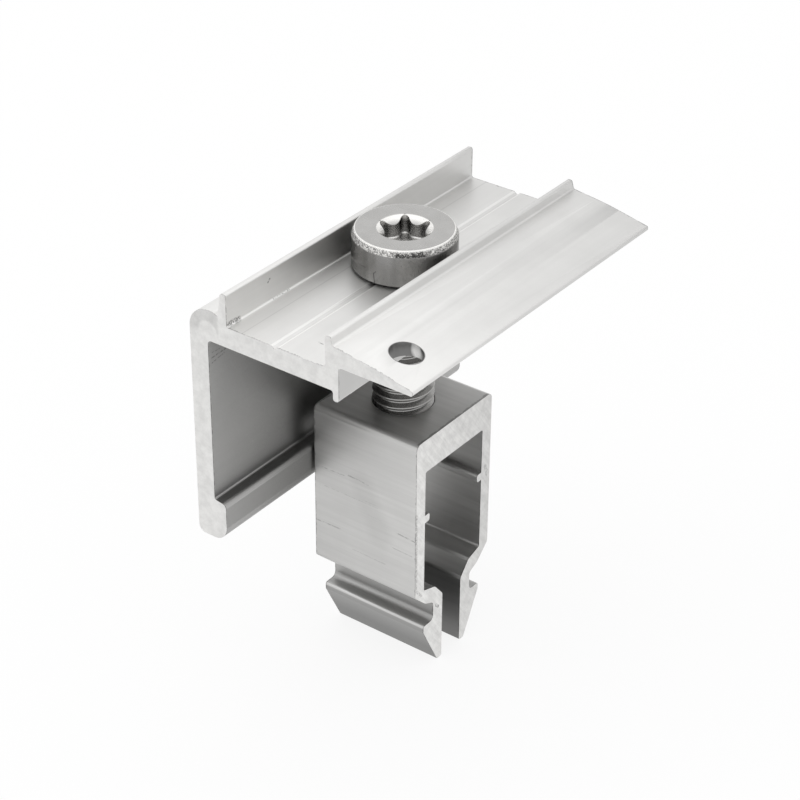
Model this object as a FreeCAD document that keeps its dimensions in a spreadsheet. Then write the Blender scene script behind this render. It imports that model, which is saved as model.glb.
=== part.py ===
import FreeCAD, Part

import math
import os

import Sketcher

# Solar end clamp: a clamp body that a screw draws down onto a foot held in a rail.
# Millimetres. X runs from the clamp's leg towards the module, Y along the module's edge, Z up.
# The origin is on the screw's axis, level with the top of the rail.

SIZES = [
    # Rail foot: its section lies in YZ and is extruded along X
    ("foot_length", 16.0),
    ("foot_width", 15.9),
    ("foot_rise", 25.85),
    ("foot_wall", 1.85),
    ("foot_plate", 4.7),
    ("foot_edge_radius", 0.8),
    ("shoulder_rise", 2.9),
    ("shoulder_radius", 0.8),
    ("shoulder_run", 2.2),
    ("shoulder_drop", 2.1),
    ("lip_gap_width", 8.0),
    ("lip_radius", 0.7),
    ("lip_thickness", 2.75),
    ("barb_width", 12.1),
    ("barb_face", 1.0),
    ("barb_depth", 7.1),
    ("barb_end", 0.95),
    ("barb_radius", 0.3),
    ("leg_gap", 4.0),
    ("jog_rise", 3.1),
    ("jog_run", 2.4),
    ("jog_drop", 0.75),
    ("jog_end_rise", 0.3),
    ("jog_radius", 0.9),
    ("bead_rise", 14.1),
    ("bead_width", 1.1),
    ("bead_reach", 0.95),
    ("bead_radius", 0.3),
    # Clamp body: its section lies in XZ and is extruded along Y
    ("clamp_length", 49.0),
    ("near_end", 24.8),
    ("web_rise", 45.0),
    ("web_thickness", 2.7),
    ("leg_offset", 10.05),
    ("leg_thickness", 2.7),
    ("leg_depth", 30.8),
    ("leg_fillet", 0.6),
    ("toe_reach", 1.75),
    ("toe_height", 5.7),
    ("toe_slope", 0.25),
    ("toe_radius", 0.7),
    ("toe_heel_radius", 1.0),
    ("toe_tip_radius", 2.0),
    ("bump_rise", 1.3),
    ("bump_radius", 2.85),
    ("bump_width", 3.65),
    ("bump_end_radius", 0.6),
    ("bump_valley", 0.5),
    ("rib_offset", 7.1),
    ("rib_height", 4.2),
    ("rib_top", 0.8),
    ("rib_base", 1.25),
    ("rib_radius", 0.3),
    ("groove_width", 0.9),
    ("groove_depth", 0.35),
    ("stop_offset", 7.4),
    ("stop_height", 4.15),
    ("stop_thickness", 0.75),
    ("stop_taper", 0.3),
    ("stop_fillet", 0.5),
    ("wing_rise", 3.05),
    ("wing_reach", 19.45),
    ("wing_crown_offset", 13.5),
    ("wing_crown_rise", 2.45),
    ("wing_crown_radius", 40.0),
    ("wing_underside", 0.62),
    ("wing_tip", 0.6),
    ("wing_tip_radius", 0.2),
    ("down_rib_offset", 8.45),
    ("down_rib_width", 0.8),
    ("down_rib_depth", 4.0),
    ("corner_radius", 0.3),
    ("pin_hole_diameter", 4.0),
    ("pin_hole_offset", 14.9),
    ("pin_hole_inset", 5.1),
    # Clamp screw: M8 with a low head
    ("screw_diameter", 7.9),
    ("screw_length", 25.0),
    ("tip_chamfer", 0.8),
    ("head_diameter", 13.0),
    ("head_height", 5.0),
    ("head_bevel_width", 0.4),
    ("head_bevel_height", 0.8),
    ("head_foot_chamfer", 0.3),
    ("socket_depth", 3.0),
    ("socket_point", 0.9),
    ("socket_mouth", 7.0),
    ("socket_sink", 0.8),
    ("socket_turn", 36.5),
    ("lobe_outer", 6.75),
    ("lobe_inner", 4.85),
    ("lobe_radius", 0.56),
    # Clearances between the pieces
    ("thread_clearance", 0.05),
    ("hole_clearance", 0.5),
]

LOBES = 6


class Size:
    """A length that keeps its value and the sheet expression that it comes from."""

    def __init__(self, value, text):
        self.value = value
        self.text = text

    def __add__(self, other):
        other = as_size(other)
        return Size(self.value + other.value, f"({self.text} + {other.text})")

    def __sub__(self, other):
        other = as_size(other)
        return Size(self.value - other.value, f"({self.text} - {other.text})")

    def __mul__(self, factor):
        return Size(self.value * factor, f"({self.text} * {factor!r})")

    def __truediv__(self, divisor):
        return Size(self.value / divisor, f"({self.text} / {divisor!r})")

    def __neg__(self):
        return Size(-self.value, f"(0 - {self.text})")


def as_size(number):
    return number if isinstance(number, Size) else Size(number, repr(number))


def fill_sheet(doc):
    """Write the driving sizes to the sheet and return them by name."""
    sheet = doc.addObject("Spreadsheet::Sheet", "Sizes")
    named = {}
    for row, (name, value) in enumerate(SIZES, start=1):
        sheet.set(f"A{row}", name)
        sheet.set(f"B{row}", str(value))
        sheet.setAlias(f"B{row}", name)
        named[name] = Size(value, f"Sizes.{name}")
    doc.recompute()
    return named


def new_sketch(body, name, role, height=None):
    """A sketch on one of the body's own origin planes, or a height above it."""
    plane = next(item for item in body.Origin.OriginFeatures if item.Role == role)
    sketch = body.newObject("Sketcher::SketchObject", name)
    sketch.AttachmentSupport = [(plane, "")]
    sketch.MapMode = "FlatFace"
    if height is not None:
        sketch.setExpression(".AttachmentOffset.Base.z", height.text)
    return sketch


def bind(sketch, constraint, size):
    """Add one constraint whose value comes from the sheet."""
    index = sketch.addConstraint(Sketcher.Constraint(*constraint, size.value))
    sketch.setExpression(f"Constraints[{index}]", size.text)


def pin_point(sketch, geometry, point, x, y):
    """Hold a point at its distances from the sketch's origin."""
    bind(sketch, ("DistanceX", -1, 1, geometry, point), x)
    bind(sketch, ("DistanceY", -1, 1, geometry, point), y)


class Corner:
    """A corner of an outline, with the tangent points of its round if it has one."""

    def __init__(self, before, here, after, radius):
        self.x, self.y = here[0], here[1]
        self.radius = radius
        self.place = FreeCAD.Vector(self.x.value, self.y.value, 0)
        self.start = self.end = self.place
        self.arc = None
        if radius is None:
            return
        back = (FreeCAD.Vector(before[0].value, before[1].value, 0) - self.place).normalize()
        ahead = (FreeCAD.Vector(after[0].value, after[1].value, 0) - self.place).normalize()
        half_angle = back.getAngle(ahead) / 2
        run = radius.value / math.tan(half_angle)
        self.start = self.place + back * run
        self.end = self.place + ahead * run
        middle = (back + ahead).normalize()
        centre = self.place + middle * (radius.value / math.sin(half_angle))
        self.turns_left = back.cross(ahead).z < 0
        first, last = (self.start, self.end) if self.turns_left else (self.end, self.start)
        angles = [math.atan2(point.y - centre.y, point.x - centre.x) for point in (first, last)]
        if angles[1] < angles[0]:
            angles[1] += 2 * math.pi
        self.arc = Part.ArcOfCircle(Part.Circle(centre, FreeCAD.Vector(0, 0, 1), radius.value), *angles)


def draw_outline(sketch, points):
    """Draw a closed outline through (x, y, radius) corners, fully held by the sheet."""
    count = len(points)
    corners = [Corner(points[i - 1], points[i], points[(i + 1) % count], points[i][2]) for i in range(count)]
    lines = []
    for i, corner in enumerate(corners):
        following = corners[(i + 1) % count]
        lines.append(sketch.addGeometry(Part.LineSegment(corner.end, following.start), False))
    for i, corner in enumerate(corners):
        before, after = lines[i - 1], lines[i]
        if corner.arc is None:
            sketch.addConstraint(Sketcher.Constraint("Coincident", before, 2, after, 1))
            pin_point(sketch, after, 1, corner.x, corner.y)
            continue
        arc = sketch.addGeometry(corner.arc, False)
        virtual = sketch.addGeometry(Part.Point(corner.place), True)
        first, last = (1, 2) if corner.turns_left else (2, 1)
        sketch.addConstraint([
            Sketcher.Constraint("Tangent", before, 2, arc, first),
            Sketcher.Constraint("Tangent", arc, last, after, 1),
            Sketcher.Constraint("PointOnObject", virtual, 1, before),
            Sketcher.Constraint("PointOnObject", virtual, 1, after),
        ])
        pin_point(sketch, virtual, 1, corner.x, corner.y)
        bind(sketch, ("Radius", arc), corner.radius)


def draw_circle(sketch, x, y, radius):
    circle = sketch.addGeometry(
        Part.Circle(FreeCAD.Vector(x.value, y.value, 0), FreeCAD.Vector(0, 0, 1), radius.value), False)
    pin_point(sketch, circle, 3, x, y)
    bind(sketch, ("Radius", circle), radius)


def extrude(body, name, sketch, length, side="One side", reverse=False):
    pad = body.newObject("PartDesign::Pad", name)
    pad.Profile = sketch
    pad.SideType = side
    pad.Reversed = reverse
    pad.setExpression("Length", length.text)
    return pad


def cut(body, name, sketch, depth=None, reverse=False):
    """Cut a sketch into the body: to a depth, or right through."""
    pocket = body.newObject("PartDesign::Pocket", name)
    pocket.Profile = sketch
    pocket.Reversed = reverse
    if depth is None:
        pocket.Type = "ThroughAll"
    else:
        pocket.setExpression("Length", depth.text)
    return pocket


def build_rail_foot(doc, size):
    body = doc.addObject("PartDesign::Body", "rail_foot")
    half_width = size["foot_width"] / 2
    inner_wall = half_width - size["foot_wall"]
    half_neck = size["lip_gap_width"] / 2
    half_barb = size["barb_width"] / 2
    half_gap = size["leg_gap"] / 2
    top = size["foot_rise"]
    ceiling = top - size["foot_plate"]
    lip_under = -size["lip_thickness"]
    barb_foot = lip_under - size["barb_depth"]
    ledge = size["shoulder_rise"] - size["shoulder_drop"]
    bead_half = size["bead_width"] / 2
    bead_tip = inner_wall - size["bead_reach"]
    zero = as_size(0.0)
    # The right half of the section: down the outside, then up the inside
    outside = [
        (half_width, top, size["foot_edge_radius"]),
        (half_width, size["shoulder_rise"], size["shoulder_radius"]),
        (half_width - size["shoulder_run"], ledge, size["shoulder_radius"]),
        (half_neck, zero, size["lip_radius"]),
        (half_neck, lip_under, size["lip_radius"]),
        (half_barb, lip_under, size["barb_radius"]),
        (half_barb, lip_under - size["barb_face"], size["barb_radius"]),
        (half_gap + size["barb_end"], barb_foot, size["barb_radius"]),
        (half_gap, barb_foot, size["barb_radius"]),
    ]
    inside = [
        (half_gap, size["jog_end_rise"], size["jog_radius"]),
        (inner_wall - size["jog_run"], size["jog_rise"] - size["jog_drop"], size["jog_radius"]),
        (inner_wall, size["jog_rise"], size["bead_radius"]),
        (inner_wall, size["bead_rise"] - bead_half, None),
        (bead_tip, size["bead_rise"] - bead_half, size["bead_radius"]),
        (bead_tip, size["bead_rise"] + bead_half, size["bead_radius"]),
        (inner_wall, size["bead_rise"] + bead_half, None),
        (inner_wall, ceiling, size["bead_radius"]),
    ]
    right = outside + inside
    left = [(-x, y, radius) for x, y, radius in reversed(right)]
    section = new_sketch(body, "foot_section", "YZ_Plane")
    draw_outline(section, right + left)
    extrude(body, "foot_extrusion", section, size["foot_length"], side="Symmetric")
    # The tapped hole goes through the top plate and stops short of the legs
    hole = new_sketch(body, "foot_hole_sketch", "XY_Plane", top)
    draw_circle(hole, zero, zero, size["screw_diameter"] / 2 + size["thread_clearance"])
    cut(body, "foot_hole", hole, size["foot_plate"] + size["foot_wall"])
    return body


def build_clamp_body(doc, size):
    body = doc.addObject("PartDesign::Body", "clamp_body")
    body.setExpression(".Placement.Base.y", (-size["near_end"]).text)
    body.setExpression(".Placement.Base.z", size["web_rise"].text)
    zero = as_size(0.0)
    leg_inner = -size["leg_offset"]
    leg_outer = leg_inner - size["leg_thickness"]
    toe_face = leg_inner + size["toe_reach"]
    toe_floor = -size["leg_depth"]
    toe_top = toe_floor + size["toe_height"]
    web_under = -size["web_thickness"]
    down_rib_outer = size["down_rib_offset"] + size["down_rib_width"]
    down_rib_under = -size["down_rib_depth"]
    underside = size["wing_underside"]
    stop_outer = size["stop_offset"] + size["stop_thickness"]
    rib_outer = -size["rib_offset"] - size["rib_base"]
    groove_half = size["groove_width"] / 2
    corner = size["corner_radius"]
    # Round the section from the leg's outer foot, along the underside, back over the top
    underneath = [
        (leg_outer, toe_floor, size["toe_heel_radius"]),
        (toe_face, toe_floor, size["toe_tip_radius"]),
        (toe_face, toe_top - size["toe_slope"], size["toe_radius"]),
        (leg_inner, toe_top, corner),
        (leg_inner, web_under, size["leg_fillet"]),
        (size["down_rib_offset"], web_under, corner),
        (size["down_rib_offset"], down_rib_under, corner),
        (down_rib_outer, down_rib_under, corner),
        (down_rib_outer, underside, corner),
        (size["wing_reach"], underside, size["wing_tip_radius"]),
    ]
    over = [
        (size["wing_reach"], underside + size["wing_tip"], size["wing_tip_radius"]),
        (size["wing_crown_offset"], size["wing_crown_rise"], size["wing_crown_radius"]),
        (stop_outer + size["stop_taper"], size["wing_rise"], corner),
        (stop_outer, size["stop_height"], corner),
        (size["stop_offset"], size["stop_height"], corner),
        (size["stop_offset"], zero, size["stop_fillet"]),
        (groove_half, zero, None),
        (zero, -size["groove_depth"], None),
        (-groove_half, zero, None),
        (-size["rib_offset"], zero, corner),
        (-size["rib_offset"], size["rib_height"], size["rib_radius"]),
        (-size["rib_offset"] - size["rib_top"], size["rib_height"], size["rib_radius"]),
        (rib_outer, size["bump_rise"] - size["bump_valley"], corner),
        (leg_outer + size["bump_width"], size["bump_rise"], size["bump_end_radius"]),
        (leg_outer, size["bump_rise"], size["bump_radius"]),
    ]
    section = new_sketch(body, "clamp_section", "XZ_Plane")
    draw_outline(section, underneath + over)
    extrude(body, "clamp_extrusion", section, size["clamp_length"], reverse=True)
    # The screw's clearance hole, under the head
    screw_hole = new_sketch(body, "screw_hole_sketch", "XY_Plane")
    draw_circle(screw_hole, zero, size["near_end"], size["screw_diameter"] / 2 + size["hole_clearance"])
    cut(body, "screw_hole", screw_hole)
    # The small hole through the wing, near one end
    pin_hole = new_sketch(body, "pin_hole_sketch", "XY_Plane")
    draw_circle(pin_hole, size["pin_hole_offset"], size["pin_hole_inset"], size["pin_hole_diameter"] / 2)
    cut(body, "pin_hole", pin_hole, reverse=True)
    return body


def draw_six_lobes(sketch, size):
    """Six round lobes and the six bosses between them, tangent to each other."""
    across = size["lobe_outer"] / 2
    throat = size["lobe_inner"] / 2
    lobe = size["lobe_radius"]
    half_step = math.pi / LOBES
    cosine = math.cos(half_step)
    reach = (across - lobe).value
    boss_value = ((reach ** 2 + throat.value ** 2 - 2 * reach * throat.value * cosine - lobe.value ** 2)
                  / (2 * (lobe.value + reach * cosine - throat.value)))
    reach_text = (across - lobe).text
    boss_text = (f"(({reach_text} ^ 2 + {throat.text} ^ 2 - 2 * {reach_text} * {throat.text} * {cosine!r}"
                 f" - {lobe.text} ^ 2) / (2 * ({lobe.text} + {reach_text} * {cosine!r} - {throat.text})))")
    boss = Size(boss_value, boss_text)
    arcs = []
    for step in range(2 * LOBES):
        angle = math.pi / 2 + step * half_step
        is_lobe = step % 2 == 0
        distance = across - lobe if is_lobe else throat + boss
        radius = lobe if is_lobe else boss
        arcs.append((distance * math.cos(angle), distance * math.sin(angle), radius, is_lobe))
    joins = []
    for step, (x, y, radius, is_lobe) in enumerate(arcs):
        other = arcs[(step + 1) % len(arcs)]
        share = radius.value / (radius.value + other[2].value)
        start = FreeCAD.Vector(x.value, y.value, 0)
        joins.append(start + (FreeCAD.Vector(other[0].value, other[1].value, 0) - start) * share)
    drawn = []
    for step, (x, y, radius, is_lobe) in enumerate(arcs):
        centre = FreeCAD.Vector(x.value, y.value, 0)
        first, last = joins[step - 1], joins[step]
        if not is_lobe:
            first, last = last, first
        angles = [math.atan2(point.y - centre.y, point.x - centre.x) for point in (first, last)]
        if angles[1] < angles[0]:
            angles[1] += 2 * math.pi
        circle = Part.Circle(centre, FreeCAD.Vector(0, 0, 1), radius.value)
        drawn.append(sketch.addGeometry(Part.ArcOfCircle(circle, *angles), False))
    for step, (x, y, radius, is_lobe) in enumerate(arcs):
        if is_lobe:
            pin_point(sketch, drawn[step], 3, x, y)
        bind(sketch, ("Radius", drawn[step]), radius)
        end = 2 if is_lobe else 1
        sketch.addConstraint(Sketcher.Constraint(
            "Tangent", drawn[step], end, drawn[(step + 1) % len(drawn)], end))


def build_clamp_screw(doc, size):
    body = doc.addObject("PartDesign::Body", "clamp_screw")
    body.setExpression(".Placement.Base.z", size["web_rise"].text)
    zero = as_size(0.0)
    shank = size["screw_diameter"] / 2
    head = size["head_diameter"] / 2
    mouth = size["socket_mouth"] / 2
    throat = size["lobe_inner"] / 2
    top = size["head_height"]
    foot = -size["screw_length"]
    socket_floor = top - size["socket_depth"]
    turned = new_sketch(body, "screw_profile", "XZ_Plane")
    draw_outline(turned, [
        (zero, foot, None),
        (shank - size["tip_chamfer"], foot, None),
        (shank, foot + size["tip_chamfer"], None),
        (shank, zero, None),
        (head - size["head_foot_chamfer"], zero, None),
        (head, size["head_foot_chamfer"], None),
        (head, top - size["head_bevel_height"], None),
        (head - size["head_bevel_width"], top, None),
        (mouth, top, None),
        (throat, top - size["socket_sink"], None),
        (zero, top - size["socket_sink"], None),
    ])
    turning = body.newObject("PartDesign::Revolution", "screw_turning")
    turning.Profile = turned
    turning.ReferenceAxis = (turned, ["V_Axis"])
    turning.Angle = 360
    doc.recompute()
    # The six-lobe socket, with the drill point under it
    socket = new_sketch(body, "socket_sketch", "XY_Plane", top)
    socket.setExpression(".AttachmentOffset.Rotation.Angle", size["socket_turn"].text)
    draw_six_lobes(socket, size)
    cut(body, "socket", socket, size["socket_depth"])
    point = new_sketch(body, "drill_point_profile", "XZ_Plane")
    draw_outline(point, [
        (zero, socket_floor - size["socket_point"], None),
        (throat, socket_floor, None),
        (zero, socket_floor, None),
    ])
    drill_point = body.newObject("PartDesign::Groove", "drill_point")
    drill_point.Profile = point
    drill_point.ReferenceAxis = (point, ["V_Axis"])
    drill_point.Angle = 360
    return body


def check_document(doc, bodies):
    """Stop if any object failed, any body is not one sound solid, or a cut removed nothing."""
    for item in doc.Objects:
        if "Invalid" in item.State or "Error" in item.State:
            raise RuntimeError(f"{item.Name} failed: {item.State}")
    for body in bodies:
        if body.Shape.isNull() or not body.Shape.isValid() or len(body.Shape.Solids) != 1:
            raise RuntimeError(f"{body.Name} is not one valid solid")
        steps = [item for item in body.Group if item.isDerivedFrom("PartDesign::Feature")]
        for before, after in zip(steps, steps[1:]):
            if after.Shape.Volume > before.Shape.Volume - 0.001:
                raise RuntimeError(f"{after.Name} removed nothing")


def main():
    doc = FreeCAD.newDocument("solar_end_clamp")
    size = fill_sheet(doc)
    bodies = [build(doc, size) for build in (build_rail_foot, build_clamp_body, build_clamp_screw)]
    for body in bodies:
        body.Label = body.Name
    doc.recompute()
    check_document(doc, bodies)
    os.makedirs("parts", exist_ok=True)
    for body in bodies:
        box = body.Shape.BoundBox
        body.Shape.exportStep(f"parts/{body.Label}.step")
        print(f"{body.Label}: {body.Shape.Volume:.1f} mm3, X {box.XMin:.2f} to {box.XMax:.2f}, "
              f"Y {box.YMin:.2f} to {box.YMax:.2f}, Z {box.ZMin:.2f} to {box.ZMax:.2f}")


main()
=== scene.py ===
import math

import bmesh
import bpy
from mathutils import Matrix, Vector


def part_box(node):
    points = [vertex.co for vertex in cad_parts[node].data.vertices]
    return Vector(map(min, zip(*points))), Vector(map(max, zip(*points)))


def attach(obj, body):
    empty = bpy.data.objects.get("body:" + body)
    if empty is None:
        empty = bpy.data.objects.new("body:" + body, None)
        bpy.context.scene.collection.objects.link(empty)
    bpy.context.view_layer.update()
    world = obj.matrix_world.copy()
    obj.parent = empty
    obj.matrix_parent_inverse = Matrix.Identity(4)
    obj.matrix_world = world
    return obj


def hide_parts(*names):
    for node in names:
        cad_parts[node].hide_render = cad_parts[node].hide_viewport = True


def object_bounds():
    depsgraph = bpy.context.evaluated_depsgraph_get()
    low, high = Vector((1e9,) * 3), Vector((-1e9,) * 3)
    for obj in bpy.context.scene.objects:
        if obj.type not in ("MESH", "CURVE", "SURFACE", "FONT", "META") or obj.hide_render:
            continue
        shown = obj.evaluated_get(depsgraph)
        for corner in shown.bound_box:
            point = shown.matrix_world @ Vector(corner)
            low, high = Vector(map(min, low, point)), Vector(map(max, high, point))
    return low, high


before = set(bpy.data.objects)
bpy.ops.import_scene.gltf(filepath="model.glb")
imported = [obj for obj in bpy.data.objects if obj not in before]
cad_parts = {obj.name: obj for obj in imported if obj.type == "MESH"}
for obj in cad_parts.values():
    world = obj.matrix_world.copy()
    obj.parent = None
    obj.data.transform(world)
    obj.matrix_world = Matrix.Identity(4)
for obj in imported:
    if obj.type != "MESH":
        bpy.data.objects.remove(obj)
cad_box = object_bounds()

# Metres, in the solids' own frame. The clamp is extruded along Y and the foot along X.
MM = 0.001

# The screw, M8 with a low head, drawn in full here: its solid has a plain shank and a deeper socket
THREAD_PITCH = 1.25 * MM
THREAD_CREST = 3.93 * MM
THREAD_ROOT = 3.25 * MM
THREAD_FLAT_SHARE = 0.14
THREAD_COLUMNS = 96
THREAD_ROWS = 10
THREAD_WELD = THREAD_PITCH / THREAD_ROWS / 20
TIP_CHAMFER = 0.8 * MM
HEAD_HEIGHT = 5.0 * MM
HEAD_BEVEL_WIDTH = 0.4 * MM
HEAD_BEVEL_HEIGHT = 0.8 * MM
HEAD_FOOT_CHAMFER = 0.3 * MM
HEAD_NECK = 4.1 * MM
SOCKET_MOUTH = 3.5 * MM
SOCKET_SINK = 0.8 * MM
SOCKET_DEPTH = 2.55 * MM
SOCKET_FLOOR_CHAMFER = 0.16 * MM
SOCKET_POINT = 0.9 * MM
LOBE_OUTER = 3.375 * MM
LOBE_INNER = 2.425 * MM
LOBE_RADIUS = 0.56 * MM
LOBE_TURN = math.radians(126.5)
LOBES = 6
HEAD_COLUMNS = 288

# The hair by which sharp edges are broken, on the head and on the extrusions
EDGE_BREAK = 0.09 * MM
SAW_BREAK = 0.07 * MM
EDGE_ANGLE = math.radians(35)
SMOOTH_ANGLE = math.radians(32)
THREAD_SMOOTH_ANGLE = math.radians(28)

# Knocks, scratches and saw dirt as the photograph shows them, in millimetres: start, end, width, depth
CLAMP_MARKS = (
    ((-7.1, -17.2, 47.6), (-7.1, -16.8, 47.95), 0.16, 0.7),
    ((-7.1, -24.3, 45.3), (-7.1, -22.6, 45.2), 0.45, 0.6),
    ((-7.0, -16.4, 45.05), (-7.0, -13.5, 45.05), 0.14, 0.45),
    ((-10.05, -24.2, 39.6), (-10.05, -21.6, 39.75), 0.13, 0.45),
    ((-10.05, -24.2, 38.9), (-10.05, -22.0, 39.3), 0.11, 0.4),
    ((-10.05, -24.1, 40.3), (-10.05, -22.8, 40.2), 0.1, 0.4),
    ((3.4, -20.9, 45.0), (4.1, -21.0, 45.0), 0.12, 0.5),
    ((16.9, -19.2, 47.2), (18.3, -17.2, 47.0), 0.1, 0.2),
)
FOOT_MARKS = (
    ((-2.6, -7.95, 17.4), (0.5, -7.95, 17.2), 0.15, 0.4),
    ((-6.9, -7.95, 17.0), (-3.3, -7.95, 17.1), 0.12, 0.3),
    ((-8.0, -7.95, 8.5), (-4.0, -7.95, 8.6), 0.14, 0.3),
    ((-6.5, -7.95, 14.3), (2.0, -7.95, 14.3), 0.1, 0.2),
    ((-0.4, -7.95, 14.6), (1.7, -7.95, 14.6), 0.1, 0.2),
    ((0.6, -7.95, 12.7), (2.5, -7.95, 12.6), 0.1, 0.2),
    ((5.0, -7.95, 11.8), (7.8, -7.95, 11.6), 0.12, 0.4),
    ((3.6, -7.95, 9.3), (7.4, -7.95, 9.2), 0.12, 0.22),
    ((-2.0, -7.95, 6.3), (3.2, -7.95, 6.2), 0.12, 0.18),
    ((8.0, -7.85, 15.5), (8.0, -7.75, 4.2), 0.24, 0.4),
    ((8.0, -7.7, 3.9), (8.0, -6.6, 2.6), 0.25, 0.35),
    ((8.0, -3.4, -0.8), (8.0, -2.9, -1.3), 0.28, 0.6),
    ((8.0, 6.9, 15.2), (8.0, 7.4, 13.8), 0.4, 0.35),
)
HEAD_MARKS = (
    ((0.2, -6.5, 46.6), (0.35, -6.5, 45.4), 0.1, 0.6),
    ((0.55, -6.5, 46.9), (0.2, -6.5, 46.5), 0.08, 0.5),
    ((-2.4, -6.05, 46.9), (-1.1, -6.4, 46.9), 0.1, 0.25),
)
FOOT_BLOTCH = ((-0.4, -7.95, 16.8), (2.4, -7.95, 10.4), 2.4, 0.07)

# Where the finish changes, in millimetres in the part's frame
WEB_UNDERSIDE = 42.3
WEB_TOP = 45.0
GROOVE_EDGE = 0.45
DIE_LINE = -4.8
WING_UNDERSIDE = 45.6
WING_CROWN = 13.5
CORNER_PLACE = (-10.0, 0.0, 43.4)
PIN_HOLE_PLACE = (14.9, -19.7, 0.0)
PIN_HOLE_RADIUS = 2.0
FOOT_END = 8.0
FOOT_TOP = 25.85
CHANNEL_ROOF = 21.15
BARB_RIDGE = -2.95
SAW_SLANT = math.radians(-35)

# Base tones of skin and saw cut, and how strongly the die lines show
CLAMP_SKIN = 0.78
CLAMP_SAW = 0.78
CLAMP_STREAKS = 0.018
FOOT_SKIN = 0.57
FOOT_SAW = 0.75
FOOT_STREAKS = 0.07
SKIN_ROUGHNESS = 0.42
STEEL_DARK = (0.44, 0.435, 0.425, 1)
STEEL_LIGHT = (0.48, 0.475, 0.465, 1)

# How far a surface looks around for neighbours that shelter it
RECESS_REACH = 30 * MM

# The photograph's camera, solved from the object's own edges
CAMERA_PLACE = Vector((141.504, -192.108, 174.607)) * MM
CAMERA_AZIMUTH = math.radians(36.477)
CAMERA_ELEVATION = math.radians(31.988)
CAMERA_ROLL = math.radians(0.466)
CAMERA_LENS = 100.998
CAMERA_SENSOR = 36.0

# The floor, and each softbox: name, place, size, power in watts, and whether it hangs level
FLOOR_RADIUS = 3.0
FLOOR_PAPER = (0.92, 0.92, 0.92, 1)
FLOOR_GLOW = 0.85
LAMP_AIM = Vector((0, 0, 0.02))
SOFTBOXES = (
    ("softbox_top", (0.10, -0.13, 0.75), (1.5, 0.45), 0.45, True),
    ("softbox_back", (-0.20, 0.40, 0.66), (0.35, 0.35), 0.12, False),
    ("softbox_left", (-0.55, -0.45, 0.35), (0.4, 0.4), 0.35, False),
)


def lobe_radius_at(angle):
    """Distance from the socket's axis to its six-lobe wall in one direction."""
    half_step = math.pi / LOBES
    reach = LOBE_OUTER - LOBE_RADIUS
    boss = ((reach ** 2 + LOBE_INNER ** 2 - 2 * reach * LOBE_INNER * math.cos(half_step) - LOBE_RADIUS ** 2)
            / (2 * (LOBE_RADIUS + reach * math.cos(half_step) - LOBE_INNER)))
    centre = LOBE_INNER + boss
    off_lobe = abs((angle - LOBE_TURN + half_step) % (2 * half_step) - half_step)
    off_boss = half_step - off_lobe
    # The two arcs meet on the line between their centres
    share = LOBE_RADIUS / (LOBE_RADIUS + boss)
    join_x = reach + (centre * math.cos(half_step) - reach) * share
    join_y = centre * math.sin(half_step) * share
    if off_lobe <= math.atan2(join_y, join_x):
        return reach * math.cos(off_lobe) + math.sqrt(LOBE_RADIUS ** 2 - (reach * math.sin(off_lobe)) ** 2)
    return centre * math.cos(off_boss) - math.sqrt(boss ** 2 - (centre * math.sin(off_boss)) ** 2)


def bridge_rings(mesh, rings):
    """Join each ring of vertices to the next with quads."""
    for lower, upper in zip(rings, rings[1:]):
        count = len(lower)
        for i in range(count):
            j = (i + 1) % count
            mesh.faces.new((lower[i], lower[j], upper[j], upper[i]))


def build_head(mesh, seat):
    """The low head with its countersunk six-lobe socket, as rings about the axis."""
    head = (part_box("clamp_screw")[1].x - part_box("clamp_screw")[0].x) / 2
    top = seat + HEAD_HEIGHT
    floor = top - SOCKET_DEPTH
    angles = [2 * math.pi * i / HEAD_COLUMNS for i in range(HEAD_COLUMNS)]
    walls = [lobe_radius_at(angle) for angle in angles]
    sink_slope = SOCKET_SINK / (SOCKET_MOUTH - LOBE_INNER)

    def ring(radii, heights):
        return [mesh.verts.new((r * math.cos(a), r * math.sin(a), z))
                for a, r, z in zip(angles, radii, heights)]

    def round_ring(radius, height):
        return ring([radius] * HEAD_COLUMNS, [height] * HEAD_COLUMNS)

    rings = [
        round_ring(HEAD_NECK, seat),
        round_ring(head - HEAD_FOOT_CHAMFER, seat),
        round_ring(head, seat + HEAD_FOOT_CHAMFER),
        round_ring(head, top - HEAD_BEVEL_HEIGHT),
        round_ring(head - HEAD_BEVEL_WIDTH, top),
        round_ring(SOCKET_MOUTH, top),
        ring(walls, [top - (SOCKET_MOUTH - r) * sink_slope for r in walls]),
        ring(walls, [floor + SOCKET_FLOOR_CHAMFER] * HEAD_COLUMNS),
        ring([r - SOCKET_FLOOR_CHAMFER for r in walls], [floor] * HEAD_COLUMNS),
        round_ring(SOCKET_POINT, floor),
    ]
    bridge_rings(mesh, rings)
    apex = mesh.verts.new((0, 0, floor - SOCKET_POINT))
    last = rings[-1]
    for i in range(HEAD_COLUMNS):
        mesh.faces.new((last[i], last[(i + 1) % HEAD_COLUMNS], apex))


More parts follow.
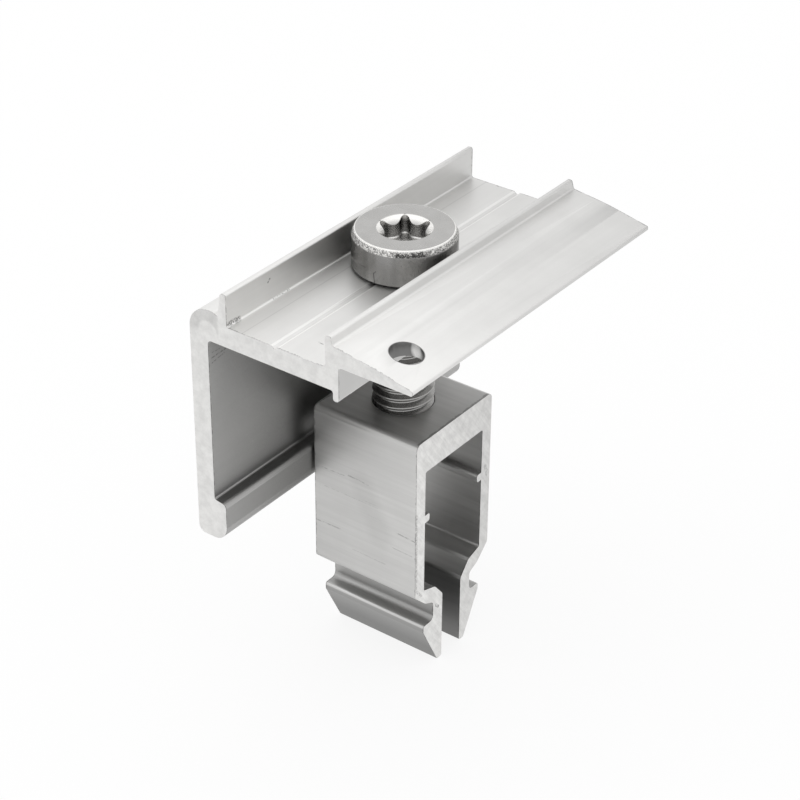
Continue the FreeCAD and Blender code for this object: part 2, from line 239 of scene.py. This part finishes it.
def build_thread(mesh, tip, top):
    """A right-hand helical thread between two heights, with a chamfered tip."""
    turns = math.ceil((top - tip) / THREAD_PITCH) + 2
    start = tip - THREAD_PITCH
    depth = THREAD_CREST - THREAD_ROOT

    def radius_at(share):
        away = abs(share - 0.5) * 2
        flank = (away - THREAD_FLAT_SHARE) / (1 - 2 * THREAD_FLAT_SHARE)
        return THREAD_CREST - depth * min(1, max(0, flank))

    columns = []
    for i in range(THREAD_COLUMNS + 1):
        angle = 2 * math.pi * i / THREAD_COLUMNS
        lift = THREAD_PITCH * i / THREAD_COLUMNS
        column = []
        for k in range(turns * THREAD_ROWS + 1):
            share = (k % THREAD_ROWS) / THREAD_ROWS
            height = start + lift + THREAD_PITCH * k / THREAD_ROWS
            radius = radius_at(share)
            column.append(mesh.verts.new((radius * math.cos(angle), radius * math.sin(angle), height)))
        columns.append(column)
    for left, right in zip(columns, columns[1:]):
        for k in range(turns * THREAD_ROWS):
            mesh.faces.new((left[k], right[k], right[k + 1], left[k + 1]))
    bmesh.ops.remove_doubles(mesh, verts=mesh.verts, dist=THREAD_WELD)
    for height, direction in ((tip, -1), (top, 1)):
        cut = bmesh.ops.bisect_plane(
            mesh, geom=mesh.verts[:] + mesh.edges[:] + mesh.faces[:],
            plane_co=(0, 0, height), plane_no=(0, 0, direction), clear_outer=True)
        rim = [item for item in cut["geom_cut"] if isinstance(item, bmesh.types.BMEdge)]
        if direction < 0:
            bmesh.ops.edgenet_fill(mesh, edges=rim)
    for vertex in mesh.verts:
        reach = math.hypot(vertex.co.x, vertex.co.y)
        limit = THREAD_CREST - max(0, TIP_CHAMFER - (vertex.co.z - tip))
        if reach > limit:
            vertex.co.x *= limit / reach
            vertex.co.y *= limit / reach


def piece_from(mesh, name, smooth_angle=SMOOTH_ANGLE):
    """A finished object from a bmesh, shaded smooth where its faces turn gently."""
    bmesh.ops.recalc_face_normals(mesh, faces=mesh.faces)
    data = bpy.data.meshes.new(name)
    mesh.to_mesh(data)
    mesh.free()
    for polygon in data.polygons:
        polygon.use_smooth = True
    data.set_sharp_from_angle(angle=smooth_angle)
    piece = bpy.data.objects.new(name, data)
    bpy.context.scene.collection.objects.link(piece)
    return piece


def build_screw():
    """The head and the thread, in place of the solid screw."""
    low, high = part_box("clamp_screw")
    seat = high.z - HEAD_HEIGHT
    head_mesh = bmesh.new()
    build_head(head_mesh, seat)
    head = piece_from(head_mesh, "screw_head")
    thread_mesh = bmesh.new()
    build_thread(thread_mesh, low.z, seat + EDGE_BREAK)
    thread = piece_from(thread_mesh, "screw_thread", THREAD_SMOOTH_ANGLE)
    soften_edges(head, EDGE_BREAK)
    for piece in (head, thread):
        piece.data.materials.append(steel_material(f"{piece.name}_steel", piece is head))
        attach(piece, "screw")
    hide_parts("clamp_screw")


def soften_edges(piece, width):
    """Break every sharp edge by a hair, as handling and tumbling do."""
    weld = piece.modifiers.new("weld", "WELD")
    weld.merge_threshold = 1e-7
    bevel = piece.modifiers.new("edge_break", "BEVEL")
    bevel.width = width
    bevel.segments = 2
    bevel.limit_method = "ANGLE"
    bevel.angle_limit = EDGE_ANGLE
    bevel.harden_normals = True
    bevel.miter_outer = "MITER_ARC"


class Nodes:
    """Short calls for building a material's node tree."""

    def __init__(self, name):
        self.material = bpy.data.materials.new(name)
        self.material.use_nodes = True
        self.tree = self.material.node_tree
        self.tree.nodes.clear()

    def add(self, kind, links=None, **settings):
        node = self.tree.nodes.new(kind)
        for key, value in settings.items():
            setattr(node, key, value)
        for socket, value in (links or {}).items():
            target = node.inputs[socket]
            if isinstance(value, bpy.types.NodeSocket):
                self.tree.links.new(value, target)
            else:
                target.default_value = value
        return node

    def math(self, operation, first, second=0.0, clamp=False):
        node = self.add("ShaderNodeMath", {0: first, 1: second}, operation=operation, use_clamp=clamp)
        return node.outputs[0]

    def product(self, first, *others):
        """Several values multiplied together."""
        for other in others:
            first = self.math("MULTIPLY", first, other)
        return first

    def largest(self, first, *others):
        """The largest of several values."""
        for other in others:
            first = self.math("MAXIMUM", first, other)
        return first

    def without(self, depth):
        """What is left of 1 once a depth is taken off."""
        return self.math("SUBTRACT", 1.0, depth)

    def noise(self, coordinates, scale, detail=4.0, roughness=0.5):
        return self.add("ShaderNodeTexNoise", {
            "Vector": coordinates, "Scale": scale, "Detail": detail, "Roughness": roughness}).outputs["Fac"]

    def stretched(self, coordinates, factors):
        return self.add("ShaderNodeVectorMath", {0: coordinates, 1: factors}, operation="MULTIPLY").outputs[0]

    def rescale(self, value, low, high, new_low, new_high):
        return self.add("ShaderNodeMapRange", {
            "Value": value, "From Min": low, "From Max": high,
            "To Min": new_low, "To Max": new_high}).outputs[0]

    def mix_colour(self, share, first, second):
        return self.add("ShaderNodeMix", {0: share, 6: first, 7: second}, data_type="RGBA").outputs[2]

    def mix_value(self, share, first, second):
        return self.add("ShaderNodeMix", {0: share, 2: first, 3: second}, data_type="FLOAT").outputs[0]

    def mix_normal(self, share, first, second):
        return self.add("ShaderNodeMix", {0: share, 4: first, 5: second}, data_type="VECTOR").outputs[1]


class MetalNodes(Nodes):
    """A bare metal's node tree, whose places are in millimetres in the part's frame."""

    def __init__(self, name):
        super().__init__(name)
        place = self.add("ShaderNodeTexCoord")
        self.point = self.stretched(place.outputs["Object"], (1 / MM,) * 3)
        self.axes = self.add("ShaderNodeSeparateXYZ", {0: self.point}).outputs
        self.facing = self.add("ShaderNodeSeparateXYZ", {0: place.outputs["Normal"]}).outputs

    def openness(self):
        """How open the surroundings are: 1 on a free face, near 0 deep in a recess."""
        return self.add("ShaderNodeAmbientOcclusion", {"Distance": RECESS_REACH}, samples=8).outputs["AO"]

    def square_on(self, facing, elsewhere, there):
        """One value where the surface faces along an axis, and another elsewhere."""
        return self.rescale(facing, 0.9, 0.97, elsewhere, there)

    def band(self, value, centre, half_width, blur):
        """1 within a distance of a level, falling to 0 over the blur."""
        off = self.math("ABSOLUTE", self.math("SUBTRACT", value, centre))
        return self.rescale(off, half_width, half_width + blur, 1.0, 0.0)

    def distance(self, factors, centre):
        """How far the point is from a centre, once its axes are stretched."""
        return self.add("ShaderNodeVectorMath", {0: self.stretched(self.point, factors), 1: centre},
                        operation="DISTANCE").outputs["Value"]

    def mark(self, start, end, width):
        """1 on a short straight mark between two places, 0 away from it."""
        along = Vector(end) - Vector(start)
        offset = self.add("ShaderNodeVectorMath", {0: self.point, 1: start}, operation="SUBTRACT").outputs[0]
        share = self.add("ShaderNodeVectorMath", {0: offset, 1: along / along.length_squared},
                         operation="DOT_PRODUCT").outputs["Value"]
        share = self.math("ADD", share, 0.0, clamp=True)
        nearest = self.add("ShaderNodeVectorMath", {0: along, 3: share}, operation="SCALE").outputs[0]
        away = self.add("ShaderNodeVectorMath", {0: offset, 1: nearest}, operation="DISTANCE")
        return self.rescale(away.outputs["Value"], width * 0.4, width, 1.0, 0.0)

    def marks(self, places, breakup):
        """Several marks at once, each broken up by a noise."""
        depths = [self.product(self.mark(start, end, width), depth) for start, end, width, depth in places]
        return self.product(self.largest(*depths), breakup)

    def shade(self, colour, tone):
        return self.add("ShaderNodeVectorMath", {0: colour, 3: tone}, operation="SCALE").outputs[0]

    def bump(self, height, strength, distance, normal=None):
        links = {"Height": height, "Strength": strength, "Distance": distance}
        if normal is not None:
            links["Normal"] = normal
        return self.add("ShaderNodeBump", links).outputs[0]

    def finish(self, colour, roughness, normal):
        shader = self.add("ShaderNodeBsdfPrincipled", {
            "Base Color": colour, "Metallic": 1.0, "Roughness": roughness, "Normal": normal})
        self.add("ShaderNodeOutputMaterial", {"Surface": shader.outputs[0]})
        return self.material


def grey(level):
    """A neutral colour with aluminium's slight warmth."""
    return (level, level * 0.995, level * 0.98, 1.0)


def distance_from_cut(n, box, along):
    """Millimetres from the nearer sawn end of an extrusion."""
    low, high = (corner[along] / MM for corner in box)
    from_middle = n.math("ABSOLUTE", n.math("SUBTRACT", n.axes[along], (high + low) / 2))
    return n.math("SUBTRACT", (high - low) / 2, from_middle)


def skin_finish(n, lines, from_cut, tone, streaks):
    """Colour of the die-lined skin, clouded here and there, with a painted shadow line beside each cut."""
    line_share = n.rescale(lines, 0.35, 0.65, 0.0, 1.0)
    colour = n.mix_colour(line_share, grey(tone * (1 - streaks)), grey(tone * (1 + streaks)))
    cloud = n.noise(n.point, 0.16, detail=3.0)
    colour = n.mix_colour(n.rescale(cloud, 0.4, 0.7, 0.0, 0.35), colour, grey(tone * 0.88))
    # Painted shadow: a ragged, dark line along the skin beside each cut, where the saw's burr would shade it
    edge_noise = n.product(n.noise(n.point, 1.1, detail=4.0, roughness=0.8), 0.9)
    ragged = n.math("ADD", from_cut, edge_noise)
    return n.shade(colour, n.rescale(ragged, 0.5, 0.58, 0.62, 1.0))


def extrusion_finish(n, along, from_cut, skin_tone, saw_tone, streaks):
    """Where the saw cut, then skin colour, cut colour, roughness and relief of an extrusion."""
    stretch = [1.0, 1.0, 1.0]
    stretch[along] = 0.02
    across = n.stretched(n.point, stretch)
    fine_lines = n.noise(across, 9.0, detail=3.0, roughness=0.7)
    broad_lines = n.noise(across, 1.3, detail=2.0)
    lines = n.math("ADD", n.product(fine_lines, 0.35), n.product(broad_lines, 0.65))
    grain = n.noise(n.point, 3.2, detail=6.0, roughness=0.75)
    mottle = n.noise(n.point, 0.9, detail=4.0, roughness=0.6)
    is_cut = n.square_on(n.math("ABSOLUTE", n.facing[along]), 0.0, 1.0)
    skin = skin_finish(n, lines, from_cut, skin_tone, streaks)
    saw = n.mix_colour(n.rescale(mottle, 0.35, 0.65, 0.0, 1.0), grey(saw_tone * 0.93), grey(saw_tone * 1.05))
    skin_rough = n.rescale(lines, 0.35, 0.65, SKIN_ROUGHNESS, SKIN_ROUGHNESS + streaks)
    saw_rough = n.rescale(grain, 0.3, 0.7, 0.45, 0.62)
    roughness = n.mix_value(is_cut, skin_rough, saw_rough)
    skin_relief = n.bump(fine_lines, streaks * 5, 0.015 * MM)
    saw_relief = n.bump(grain, 0.6, 0.06 * MM)
    return is_cut, skin, saw, roughness, n.mix_normal(is_cut, skin_relief, saw_relief)


def clamp_painted_light(n):
    """Painted light and shade: how bright the clamp's open skin is from place to place, against its base
    tone.
    """
    x, y, z = n.axes
    # Painted light: brighter towards -Y and darker towards +Y, and painted shade on faces turned to +X
    along = n.rescale(y, -24.0, 24.0, 1.07, 0.88)
    plus_x_painted_shade = n.square_on(n.facing[0], 1.0, 0.95)
    # Painted shade: darker on the +X side of the middle
    middle = n.product(n.rescale(x, 2.0, 6.0, 0.0, 0.07), n.band(y, 0.0, 6.0, 14.0))
    # Painted shade on the down-rib's side, which the wing shelters
    under_wing = n.product(n.rescale(z, WING_UNDERSIDE - 0.1, WING_UNDERSIDE - 0.4, 0.0, 1.0),
                           n.rescale(x, 8.0, 8.4, 0.0, 1.0))
    sheltered = n.product(n.square_on(n.facing[0], 0.0, 0.28), under_wing)
    # Painted reflection: evens out what the wing's two slopes mirror towards the far end
    slope_painted_reflection = n.product(n.rescale(x, WING_CROWN - 0.3, WING_CROWN + 0.3, 0.05, -0.05),
                      n.rescale(x, 8.6, 9.0, 0.0, 1.0),
                      n.rescale(y, 6.0, 24.0, 0.0, 1.0))
    return n.product(along, plus_x_painted_shade, n.without(middle), n.without(sheltered), n.math("ADD", 1.0, slope_painted_reflection))


def clamp_material():
    """Bright mill aluminium, with the clamp's grooves, knocks, sawn ends, and painted light and shade."""
    n = MetalNodes("clamp_body_aluminium")
    x, y, z = n.axes
    from_cut = distance_from_cut(n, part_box("clamp_body"), 1)
    is_cut, skin, saw, roughness, normal = extrusion_finish(
        n, 1, from_cut, CLAMP_SKIN, CLAMP_SAW, CLAMP_STREAKS)
    # Painted shade: the leg's sheltered inner side is darker than the top, the more so the more enclosed it
    # is
    inside = n.product(n.band(x, -1.0, 9.3, 0.05),
                       n.rescale(z, WEB_UNDERSIDE + 0.5, WEB_UNDERSIDE - 0.1, 0.0, 1.0))
    recess_painted_shade = n.rescale(n.openness(), 0.45, 0.8, 0.31, 0.58)
    tone = n.mix_value(inside, clamp_painted_light(n), recess_painted_shade)
    # Painted highlight on the marking groove's edges
    groove_painted_highlight = n.product(n.band(n.math("ABSOLUTE", x), GROOVE_EDGE, 0.12, 0.06),
                       n.rescale(z, WEB_TOP - 0.5, WEB_TOP - 0.3, 0.0, 1.0))
    tone = n.product(tone, n.rescale(groove_painted_highlight, 0.0, 1.0, 1.0, 1.16))
    # One die line on the web, between the left rib and the groove
    line = n.product(n.band(x, DIE_LINE, 0.04, 0.08), n.rescale(z, WEB_TOP - 0.5, WEB_TOP - 0.1, 0.0, 0.12))
    grit = n.rescale(n.noise(n.point, 3.5, detail=3.0, roughness=0.7), 0.42, 0.52, 0.0, 1.0)
    scars = n.marks(CLAMP_MARKS, grit)
    # Painted shade: a dark ring at the pin hole's rim, and dark bore walls
    from_pin = n.distance((1, 1, 0), PIN_HOLE_PLACE)
    bore_painted_shade = n.rescale(from_pin, PIN_HOLE_RADIUS + 0.02, PIN_HOLE_RADIUS + 0.12, 0.75, 0.0)
    tone = n.product(tone, n.without(n.largest(line, scars, bore_painted_shade)))
    # Painted shade: the rounded corner's cut end is darker outside a small circle
    corner = n.product(n.rescale(n.distance((1, 0, 1), CORNER_PLACE), 1.3, 1.6, 0.0, 1.0),
                       n.rescale(x, -8.2, -8.6, 0.0, 1.0), n.rescale(z, 42.9, 43.8, 0.0, 1.0))
    tone = n.mix_value(is_cut, tone, n.rescale(corner, 0.0, 1.0, 1.0, 0.86))
    return n.finish(n.shade(n.mix_colour(is_cut, skin, saw), tone), roughness, normal)


def foot_painted_light(n):
    """Painted light and shade: how bright the foot's skin is from place to place, against its base tone."""
    x, y, z = n.axes
    side = n.math("ABSOLUTE", y)
    # The inner side narrows from the channel to the gap between the legs
    inner_reach = n.rescale(z, 0.3, 3.3, 2.4, 6.4)
    within = n.product(n.rescale(n.math("SUBTRACT", side, inner_reach), 0.0, 0.2, 1.0, 0.0),
                       n.rescale(z, CHANNEL_ROOF + 0.15, CHANNEL_ROOF + 0.45, 1.0, 0.0))
    # Painted shade: the inner side is darker towards the bottom
    inner = n.rescale(z, -1.0, 4.0, 0.36, 0.92)
    # Painted highlight along the barbs' ridge, and painted shade on the barbs, darker towards the bottom
    ridge_painted_highlight = n.product(n.band(z, BARB_RIDGE, 0.1, 0.15), n.rescale(side, 5.5, 5.7, 0.0, 0.4))
    barb = n.math("ADD", n.rescale(z, -7.5, -0.5, 0.42, 0.78), ridge_painted_highlight)
    # Painted light: the top is brighter towards -X, the wall brighter towards +X
    top = n.rescale(x, -4.0, FOOT_END, 1.45, 0.95)
    wall = n.rescale(x, -FOOT_END, FOOT_END, 0.98, 1.12)
    above = n.mix_value(n.rescale(z, FOOT_TOP - 0.25, FOOT_TOP - 0.05, 0.0, 1.0), wall, top)
    outer = n.mix_value(n.rescale(z, -0.2, 0.3, 1.0, 0.0), above, barb)
    return n.mix_value(within, outer, inner)


def saw_strokes_and_painted_light(n):
    """Coarse slanting strokes of the saw across the foot's cut ends, with painted light brighter towards -Y.
    """
    turned = n.add("ShaderNodeVectorRotate", {"Vector": n.point, "Angle": SAW_SLANT}, rotation_type="X_AXIS")
    strokes = n.noise(n.stretched(turned.outputs[0], (1, 1, 0.12)), 2.2, detail=4.0, roughness=0.7)
    return n.product(n.rescale(strokes, 0.35, 0.65, 0.92, 1.06), n.rescale(n.axes[1], -8.0, 8.0, 1.07, 0.9))


def foot_material():
    """Duller mill aluminium, with the foot's die lines, dirt, coarse sawn ends, and painted light and shade.
    """
    n = MetalNodes("rail_foot_aluminium")
    # The painted shadow line beside the cut is wider along the foot's top
    wider = n.rescale(n.axes[2], FOOT_TOP - 0.25, FOOT_TOP - 0.05, 0.0, 0.2)
    from_cut = n.math("SUBTRACT", distance_from_cut(n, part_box("rail_foot"), 0), wider)
    is_cut, skin, saw, roughness, normal = extrusion_finish(n, 0, from_cut, FOOT_SKIN, FOOT_SAW, FOOT_STREAKS)
    colour = n.mix_colour(is_cut, n.shade(skin, foot_painted_light(n)), n.shade(saw, saw_strokes_and_painted_light(n)))
    breakup = n.noise(n.stretched(n.point, (0.5, 1, 1)), 3.0, detail=4.0, roughness=0.75)
    scars = n.marks(FOOT_MARKS, n.rescale(breakup, 0.42, 0.54, 0.0, 1.0))
    start, end, width, depth = FOOT_BLOTCH
    blotch = n.product(n.mark(start, end, width), depth)
    return n.finish(n.shade(colour, n.without(n.largest(scars, blotch))), roughness, normal)


def head_finish(n, colour, roughness, normal):
    """The head's own zones: flat top, knocked bevel with painted glints, flank with painted shade, and bare
    socket walls with painted shade.
    """
    z = n.axes[2]
    radius = n.distance((1, 1, 0), (0.0, 0.0, 0.0))
    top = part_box("clamp_screw")[1].z / MM
    foot = top - HEAD_HEIGHT / MM
    mouth = SOCKET_MOUTH / MM
    floor_height = top - SOCKET_DEPTH / MM
    outer = n.rescale(radius, 5.95, 6.15, 0.0, 1.0)
    bevel = n.product(n.rescale(z, top - 0.9, top - 0.75, 0.0, 1.0), outer)
    flank = n.product(n.rescale(z, top - 0.75, top - 0.9, 0.0, 1.0), outer)
    in_mouth = n.rescale(radius, mouth, mouth + 0.1, 1.0, 0.0)
    socket = n.product(n.rescale(z, top - 0.35, top - 0.9, 0.0, 1.0), in_mouth)
    sink = n.product(n.rescale(z, top - 0.02, top - 0.08, 0.0, 1.0), in_mouth)

    # Painted glints: the knocked bevel is brightened, with one painted dark reflection at the front and a
    # painted highlight on the rim
    knocks = n.noise(n.point, 5.0, detail=4.0, roughness=0.75)
    front = n.mark((3.2, -5.6, top - 0.75), (5.3, -3.7, top - 0.75), 0.75)
    knocks_and_painted_glints = n.mix_value(front, n.rescale(knocks, 0.4, 0.6, 0.3, 2.0), n.rescale(knocks, 0.5, 0.6, 0.1, 1.3))
    rim = n.product(n.band(radius, 6.1, 0.06, 0.05), n.rescale(z, top - 0.25, top - 0.2, 0.0, 1.0))
    tone = n.mix_value(rim, n.mix_value(bevel, 1.0, knocks_and_painted_glints), 2.0)

    # Painted shade: the flank is darker than the top and streaked along its height, scratched, and has a
    # painted shadow at its foot
    drawn = n.noise(n.stretched(n.point, (1, 1, 0.1)), 0.55, detail=2.0)
    flank_shade_and_scratches = n.product(n.rescale(drawn, 0.35, 0.65, 0.48, 0.66),
                           n.rescale(z, foot + 0.25, foot + 0.4, 0.3, 1.0),
                           n.without(n.marks(HEAD_MARKS, 1.0)))
    tone = n.mix_value(flank, tone, flank_shade_and_scratches)

    # Painted highlight on the countersink, painted shade on the lobes' walls and painted light on the floor
    walls = n.rescale(radius, 2.5, 2.9, 0.76, 0.46)
    floor = n.rescale(z, floor_height + 0.22, floor_height + 0.1, 0.0, 1.0)
    tone = n.mix_value(socket, n.mix_value(sink, tone, 2.0), n.mix_value(floor, walls, 1.6))
    rough_zones = n.product(n.largest(bevel, n.product(sink, 0.5)), 0.9)
    normal = n.bump(knocks, rough_zones, 0.12 * MM, normal)
    return n.shade(colour, tone), n.mix_value(bevel, roughness, 0.16), normal


def steel_material(name, is_head):
    """Bright plated steel, for the head and for the rolled thread."""
    n = MetalNodes(name)
    fine = n.noise(n.point, 4.0, detail=5.0, roughness=0.7)
    cloud = n.noise(n.stretched(n.point, (1, 1, 0.25)), 0.45, detail=3.0)
    colour = n.mix_colour(n.rescale(cloud, 0.35, 0.65, 0.0, 1.0), STEEL_DARK, STEEL_LIGHT)
    normal = n.bump(fine, 0.15, 0.01 * MM)
    roughness = n.rescale(fine, 0.3, 0.7, 0.2, 0.3)
    if is_head:
        colour, roughness, normal = head_finish(n, colour, roughness, normal)
    else:
        # Painted shade: the thread darkens where it is sheltered
        colour = n.shade(colour, n.rescale(n.openness(), 0.2, 0.55, 0.42, 0.85))
    return n.finish(colour, roughness, normal)


def dress_extrusions():
    """Give the two extrusions their finish and their broken edges."""
    for node, finish in (("clamp_body", clamp_material), ("rail_foot", foot_material)):
        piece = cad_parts[node]
        piece.data.materials.clear()
        piece.data.materials.append(finish())
        soften_edges(piece, SAW_BREAK)


def build_camera():
    """The photograph's viewpoint, as solved."""
    data = bpy.data.cameras.new("camera")
    data.lens = CAMERA_LENS
    data.sensor_width = CAMERA_SENSOR
    data.clip_start = 0.01
    data.clip_end = 10.0
    camera = bpy.data.objects.new("camera", data)
    bpy.context.scene.collection.objects.link(camera)
    ahead = Vector((-math.sin(CAMERA_AZIMUTH) * math.cos(CAMERA_ELEVATION),
                    math.cos(CAMERA_AZIMUTH) * math.cos(CAMERA_ELEVATION),
                    -math.sin(CAMERA_ELEVATION)))
    right = ahead.cross(Vector((0, 0, 1))).normalized()
    up = right.cross(ahead)
    rolled_right = right * math.cos(CAMERA_ROLL) + up * math.sin(CAMERA_ROLL)
    rolled_up = up * math.cos(CAMERA_ROLL) - right * math.sin(CAMERA_ROLL)
    turn = Matrix((rolled_right, rolled_up, -ahead)).transposed()
    camera.matrix_world = Matrix.Translation(CAMERA_PLACE) @ turn.to_4x4()
    bpy.context.scene.camera = camera


def build_floor():
    """White paper under the part, which keeps its shadow but shows nearly white by itself."""
    mesh = bmesh.new()
    bmesh.ops.create_circle(mesh, cap_ends=True, segments=64, radius=FLOOR_RADIUS)
    floor = piece_from(mesh, "floor")
    floor.location = (0, 0, cad_box[0].z)
    n = Nodes("floor_white")
    ray = n.add("ShaderNodeLightPath").outputs
    seen = n.largest(ray["Is Camera Ray"], n.largest(ray["Is Glossy Ray"], ray["Is Transmission Ray"]))
    paper = n.add("ShaderNodeBsdfDiffuse", {"Color": FLOOR_PAPER})
    glow = n.add("ShaderNodeEmission", {"Color": (1, 1, 1, 1), "Strength": 1.0})
    mixed = n.add("ShaderNodeMixShader", {
        0: n.product(seen, FLOOR_GLOW), 1: paper.outputs[0], 2: glow.outputs[0]})
    n.add("ShaderNodeOutputMaterial", {"Surface": mixed.outputs[0]})
    floor.data.materials.append(n.material)


def build_world():
    """A plain white surround at full strength, which is also what the metal shows."""
    world = bpy.data.worlds.new("studio")
    bpy.context.scene.world = world
    world.use_nodes = True
    surround = world.node_tree.nodes["Background"]
    surround.inputs["Color"].default_value = (1, 1, 1, 1)
    surround.inputs["Strength"].default_value = 1.0


def build_softbox(name, place, size, power, hangs_level):
    """A rectangular lamp that faces the part, or hangs level and turned with the camera."""
    data = bpy.data.lights.new(name, "AREA")
    data.shape = "RECTANGLE"
    data.size, data.size_y = size
    data.energy = power
    lamp = bpy.data.objects.new(name, data)
    bpy.context.scene.collection.objects.link(lamp)
    lamp.location = place
    if hangs_level:
        lamp.rotation_euler = (0, 0, CAMERA_AZIMUTH)
    else:
        lamp.rotation_euler = (LAMP_AIM - Vector(place)).to_track_quat("-Z", "Y").to_euler()


def build_studio():
    """Floor, surround and softboxes, shown without a film look."""
    bpy.context.scene.view_settings.view_transform = "Standard"
    build_floor()
    build_world()
    for softbox in SOFTBOXES:
        build_softbox(*softbox)


build_camera()
dress_extrusions()
build_screw()
build_studio()
